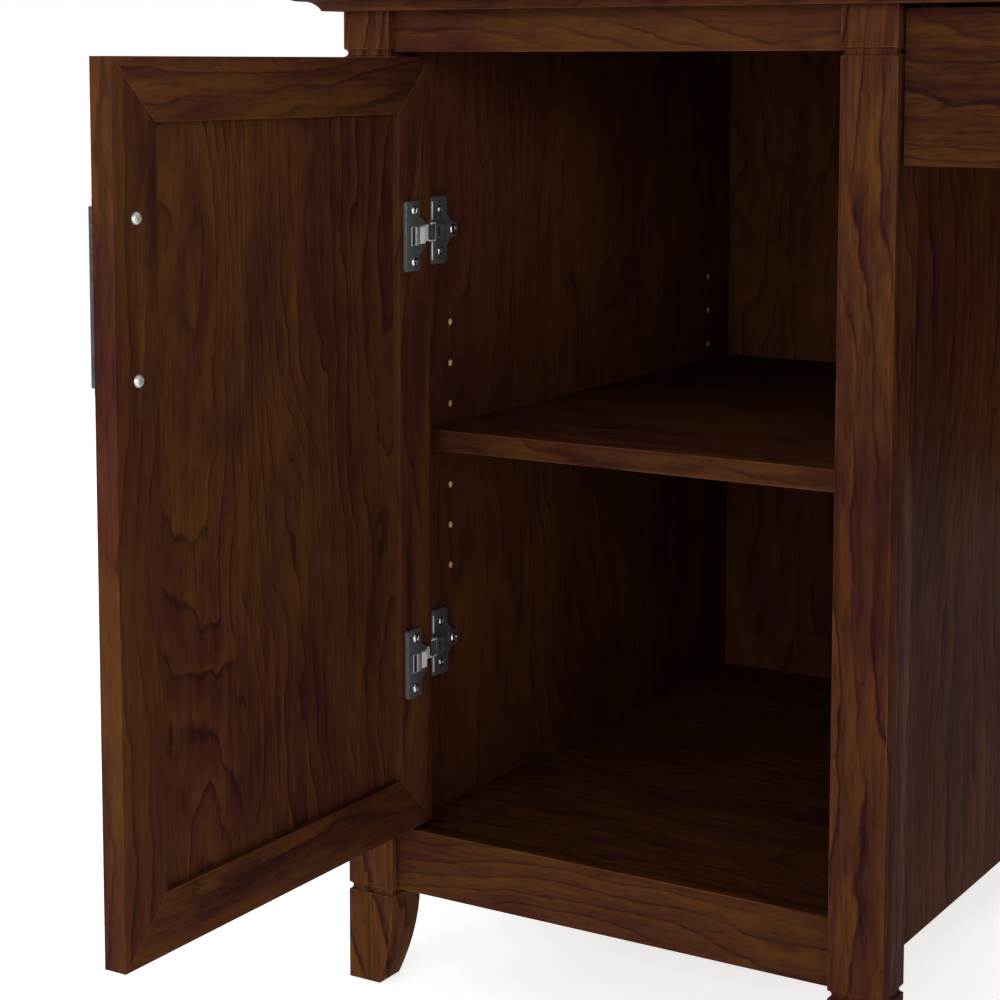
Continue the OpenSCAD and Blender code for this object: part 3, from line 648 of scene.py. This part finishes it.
gather("hinge_door_plates", GUNMETAL, "door", "hinge_steel", door_plates, ["hinge_cups"])
gather("hinge_cup_lips", STEEL, "door", "hinge_steel", cup_lips)
gather("hinge_door_links", PLATED, "door", "bright_steel", door_links)
gather("hinge_cup_hollows", PAINTED_SHADE, "door", "hinge_steel", cup_hollow_shade)
gather("hinge_links", PLATED, "desk_frame", "bright_steel", hinge_links)
gather("hinge_knuckle_rims", PLATED, "desk_frame", "bright_steel", knuckle_highlights)
gather("hinge_arm_plates", GUNMETAL, "desk_frame", "hinge_steel", arm_plates, ["hinge_arms"])
gather("hinge_arm_hollows", PAINTED_SHADE, "desk_frame", "hinge_steel", arm_hollow_shade)
gather("hinge_arm_screw_heads", POLISHED, "desk_frame", "bright_steel", arm_screws,
       ["hinge_arm_screws"])
all_door_screws()
pin_hole_linings()


# ---- Fixings of the drawer slides ----

MEMBER_WEB = 6.2        # from a drawer member's open edges to the web that its screws sit on
HOLE = (-0.3, 0.06)     # a hole's dark solid, painted shade, from inside the web to just proud of it
SCREW_INSET = 30        # from a member's ends to its outer screws
NEAR_SLOT, FAR_SLOT = 17, 33         # from a screw to the two empty slots beside it
SLOT_LENGTH, SLOT_WIDTH = 10, 4.6
HOLE_SIZE = 7
HOLE_INSETS = (22, 88)  # from a middle member's ends to its round holes


def slide_faces(node, length_axis, depth):
    """Yields each member of a pair of slides: its side, its length, and a way to place points on it.

    A point is given by its distance from the low end, its height above the middle, and how far
    it stands out from the face that lies depth millimetres inside the member's outermost one."""
    corners = [NODES[node].matrix_world @ Vector(c) for c in NODES[node].bound_box]
    low, high = [Vector(pick(c[i] for c in corners) for i in range(3)) for pick in (min, max)]
    length = (high[length_axis] - low[length_axis]) / MM
    for side, edge in ((-1, low), (1, high)):
        def place(along, up, out, side=side, edge=edge):
            point = Vector((0, 0, (low.z + high.z) / 2 + up * MM))
            point[length_axis] = low[length_axis] + along * MM
            point[1 - length_axis] = edge[1 - length_axis] + side * (out - depth) * MM
            return point
        yield side, length, place


def slot_outline(along, width, height, count=24):
    """A hole with round ends, around a point at a distance along the slide."""
    radius = min(width, height) / 2
    outline = []
    for i in range(count):
        angle = 2 * math.pi * (i + 0.5) / count
        a, b = math.cos(angle), math.sin(angle)
        outline.append((along + radius * a + math.copysign(width / 2 - radius, a),
                        radius * b + math.copysign(height / 2 - radius, b)))
    return outline


def slide_fixings(drawer, length_axis):
    """Screws and empty slots in the members that are screwed to a drawer's sides."""
    bm = bmesh.new()
    for side, length, place in slide_faces(drawer + "_members", length_axis, MEMBER_WEB):
        outward = side * math.pi / 2 if length_axis == 0 else math.pi * (side < 0)
        for along, step in ((SCREW_INSET, 1), (length / 2, 1), (length - SCREW_INSET, -1)):
            older = set(bm.verts)
            screw_head(bm, Vector((0, 0, 0)), 3.4, 1.6, 0.01 * along)
            bmesh.ops.transform(
                bm, verts=[v for v in bm.verts if v not in older],
                matrix=Matrix.Translation(place(along, 0, 0)) @ Matrix.Rotation(outward, 4, "Z"))
            # The slots are dark patches standing just proud of the web: painted shade.
            older = set(bm.faces)
            prism(bm, slot_outline(along + NEAR_SLOT * step, SLOT_LENGTH, SLOT_WIDTH), *HOLE, 0, place)
            prism(bm, slot_outline(along + FAR_SLOT * step, SLOT_WIDTH, SLOT_LENGTH), *HOLE, 0, place)
            for face in bm.faces:
                if face not in older:
                    face.material_index = 1
    piece = finish_piece(drawer + "_slide_screws", bm, BRIGHT, drawer, "zinc_steel")
    piece.data.materials.append(PAINTED_SHADE)


def slide_hole_shade(node, length_axis, body):
    """Dark patches for the round holes in the webs of a drawer's middle slide members: painted shade."""
    bm = bmesh.new()
    outer, inner = HOLE_INSETS
    for _, length, place in slide_faces(node, length_axis, 0):
        for along in (outer, inner, length / 2, length - inner, length - outer):
            prism(bm, slot_outline(along, HOLE_SIZE, HOLE_SIZE), *HOLE, 0, place)
    finish_piece(node + "_holes", bm, PAINTED_SHADE, body, "zinc_steel")


for drawer, middle, body, length_axis in (
        ("kneehole_drawer", "kneehole_slides", "kneehole_slide_members", 1),
        ("box_drawer", "box_drawer_slides", "box_drawer_slide_members", 0),
        ("file_drawer", "file_drawer_slides", "file_drawer_slide_members", 0)):
    slide_fixings(drawer, length_axis)
    slide_hole_shade(middle, length_axis, body)


# ---- Camera, floor and light ----

FLOOR_DROP = 0.0005     # the floor lies this far, in metres, under the feet


def look_at(obj, target):
    """Turns a light to face a point."""
    obj.rotation_euler = (Vector(target) - obj.location).to_track_quat("-Z", "Y").to_euler()


def make_camera():
    """The photograph's view, from the right and just below the height of the door's top.

    The photograph's verticals are parallel, which is all shift. Part of that is a tilt down here,
    because the same shift has to leave the whole desk in the other views."""
    data = bpy.data.cameras.new("camera")
    camera = bpy.data.objects.new("camera", data)
    bpy.context.scene.collection.objects.link(camera)
    camera.location = (0.2709, -1.2074, 0.701)
    camera.rotation_euler = (math.radians(90 - 5.652), 0, math.radians(31.679))
    data.sensor_width = 36
    data.lens = 82.0872
    data.shift_y = -0.21
    data.clip_start = 0.02
    bpy.context.scene.camera = camera


def area_light(name, location, target, size, power):
    """A white softbox that faces a point."""
    data = bpy.data.lights.new(name, "AREA")
    data.shape = "RECTANGLE"
    data.size, data.size_y = size
    data.energy = power
    light = bpy.data.objects.new(name, data)
    bpy.context.scene.collection.objects.link(light)
    light.location = location
    look_at(light, target)


def make_floor():
    """A plain floor that glows a little, to stay near the photograph's white."""
    bm = bmesh.new()
    bmesh.ops.create_grid(bm, x_segments=1, y_segments=1, size=30)
    mesh = bpy.data.meshes.new("floor")
    bm.to_mesh(mesh)
    bm.free()
    floor = bpy.data.objects.new("floor", mesh)
    bpy.context.scene.collection.objects.link(floor)
    floor.location.z = cad_box[0].z - FLOOR_DROP
    material, _, shader = new_material("studio_floor")
    shader.inputs["Base Color"].default_value = (0.93, 0.93, 0.93, 1)
    shader.inputs["Roughness"].default_value = 0.9
    shader.inputs["Specular IOR Level"].default_value = 0.0
    shader.inputs["Emission Color"].default_value = (1, 1, 1, 1)
    shader.inputs["Emission Strength"].default_value = 0.68
    mesh.materials.append(material)


def make_world():
    """White to the eye, and a soft grey dome to the object."""
    world = bpy.data.worlds.new("studio")
    bpy.context.scene.world = world
    world.use_nodes = True
    nodes, links = world.node_tree.nodes, world.node_tree.links
    nodes.clear()
    out = nodes.new("ShaderNodeOutputWorld")
    seen = nodes.new("ShaderNodeBackground")
    seen.inputs["Color"].default_value = (1, 1, 1, 1)
    seen.inputs["Strength"].default_value = 1.0
    dome = nodes.new("ShaderNodeBackground")
    dome.inputs["Color"].default_value = (1, 1, 1, 1)
    dome.inputs["Strength"].default_value = 0.45
    path = nodes.new("ShaderNodeLightPath")
    pick = nodes.new("ShaderNodeMixShader")
    links.new(path.outputs["Is Camera Ray"], pick.inputs["Fac"])
    links.new(dome.outputs["Background"], pick.inputs[1])
    links.new(seen.outputs["Background"], pick.inputs[2])
    links.new(pick.outputs["Shader"], out.inputs["Surface"])


make_camera()
make_floor()
make_world()
area_light("key", (-0.7, -3.2, 1.3), (-0.45, 0.1, 0.4), (2.4, 1.6), 54)
area_light("right", (1.9, -2.2, 1.1), (-0.5, 0.1, 0.4), (1.6, 1.4), 54)
area_light("back", (1.6, 3.4, 1.8), (0.1, 0.3, 0.4), (2.4, 2.0), 45)
bpy.context.scene.view_settings.view_transform = "Standard"
